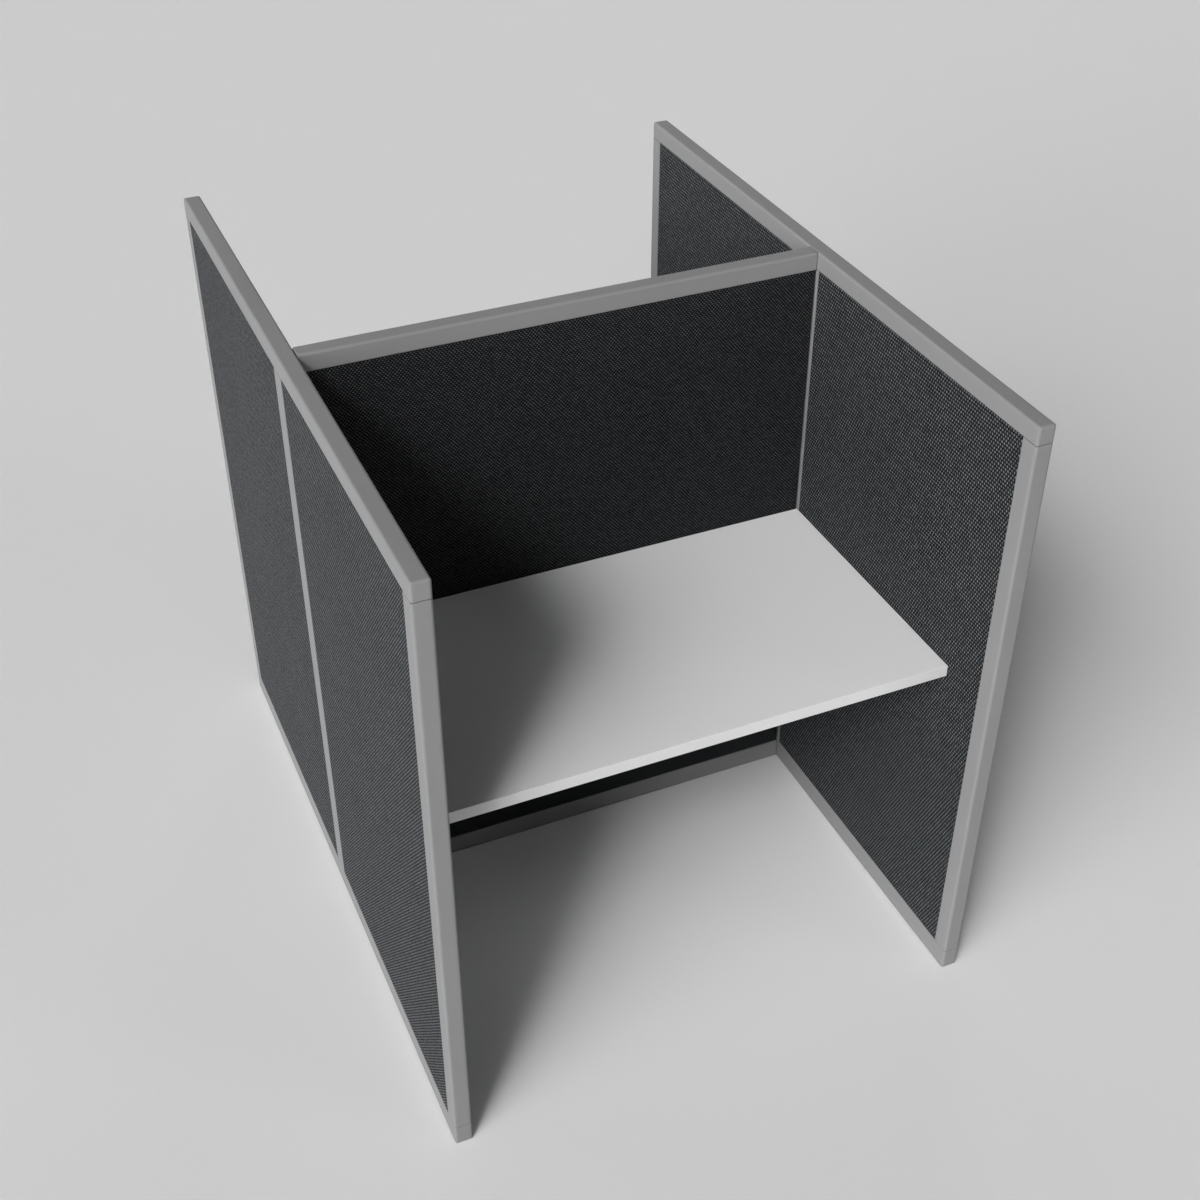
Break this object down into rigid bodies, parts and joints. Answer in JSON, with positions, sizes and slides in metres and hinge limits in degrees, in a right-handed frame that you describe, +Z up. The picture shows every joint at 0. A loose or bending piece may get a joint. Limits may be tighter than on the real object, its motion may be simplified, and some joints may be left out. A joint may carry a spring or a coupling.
{
  "type": "cubicle workstation",
  "caption": "Free-standing cubicle: fabric privacy screens in grey metal frames, H-shaped in plan, with a white worksurface across the front bay.",
  "frame": {"origin": "centre of the plan on the floor, under the middle screen's centre", "axes": "+X towards the right wing, +Y from the worksurface bay towards the open rear bay, +Z up"},
  "size_m": [1.145, 1.53, 1.348],
  "materials": {
    "frame_grey": "satin",
    "fabric": "matte",
    "core_board": "matte",
    "white_laminate": "satin",
    "edge_band": "satin",
    "connector": "matte",
    "zinc_steel": "satin",
    "glide_steel": "satin"
  },
  "bodies": {
    "frame": {"left_support_angle": "zinc_steel", "left_wing_bottom_rail": "frame_grey", "left_wing_front_core": "core_board", "left_wing_front_post": "frame_grey", "left_wing_glide_blocks": "zinc_steel", "left_wing_inner_front_tile": "fabric", "left_wing_inner_rear_tile": "fabric", "left_wing_mid_post": "frame_grey", "left_wing_outer_front_tile": "fabric", "left_wing_outer_rear_tile": "fabric", "left_wing_post_connectors": "connector", "left_wing_rear_core": "core_board", "left_wing_rear_post": "frame_grey", "left_wing_top_cap": "frame_grey", "middle_bottom_rail": "frame_grey", "middle_core": "core_board", "middle_front_tile": "fabric", "middle_glide_blocks": "zinc_steel", "middle_left_hook_strip": "zinc_steel", "middle_left_stud": "zinc_steel", "middle_rear_tile": "fabric", "middle_right_hook_strip": "zinc_steel", "middle_right_stud": "zinc_steel", "middle_top_cap": "frame_grey", "right_support_angle": "zinc_steel", "right_wing_bottom_rail": "frame_grey", "right_wing_front_core": "core_board", "right_wing_front_post": "frame_grey", "right_wing_glide_blocks": "zinc_steel", "right_wing_inner_front_tile": "fabric", "right_wing_inner_rear_tile": "fabric", "right_wing_mid_post": "frame_grey", "right_wing_outer_front_tile": "fabric", "right_wing_outer_rear_tile": "fabric", "right_wing_post_connectors": "connector", "right_wing_rear_core": "core_board", "right_wing_rear_post": "frame_grey", "right_wing_top_cap": "frame_grey", "support_angle_screws": "zinc_steel", "worksurface_board": "white_laminate", "worksurface_front_edge_band": "edge_band", "worksurface_rear_edge_band": "edge_band", "worksurface_screws": "zinc_steel", "worksurface_side_edge_bands": "edge_band"},
    "left_wing_front_glide_body": {"left_wing_front_glide": "glide_steel"},
    "left_wing_rear_glide_body": {"left_wing_rear_glide": "glide_steel"},
    "middle_left_glide_body": {"middle_left_glide": "glide_steel"},
    "middle_right_glide_body": {"middle_right_glide": "glide_steel"},
    "right_wing_front_glide_body": {"right_wing_front_glide": "glide_steel"},
    "right_wing_rear_glide_body": {"right_wing_rear_glide": "glide_steel"}
  },
  "joints": [
    {"name": "left_wing_front_glide_screw_travel", "type": "slide", "parent": "frame", "child": "left_wing_front_glide_body", "axis": [0, 0, -1], "range_m": [0, 0.015]},
    {"name": "left_wing_rear_glide_screw_travel", "type": "slide", "parent": "frame", "child": "left_wing_rear_glide_body", "axis": [0, 0, -1], "range_m": [0, 0.015]},
    {"name": "middle_left_glide_screw_travel", "type": "slide", "parent": "frame", "child": "middle_left_glide_body", "axis": [0, 0, -1], "range_m": [0, 0.015]},
    {"name": "middle_right_glide_screw_travel", "type": "slide", "parent": "frame", "child": "middle_right_glide_body", "axis": [0, 0, -1], "range_m": [0, 0.015]},
    {"name": "right_wing_front_glide_screw_travel", "type": "slide", "parent": "frame", "child": "right_wing_front_glide_body", "axis": [0, 0, -1], "range_m": [0, 0.015]},
    {"name": "right_wing_rear_glide_screw_travel", "type": "slide", "parent": "frame", "child": "right_wing_rear_glide_body", "axis": [0, 0, -1], "range_m": [0, 0.015]}
  ]
}
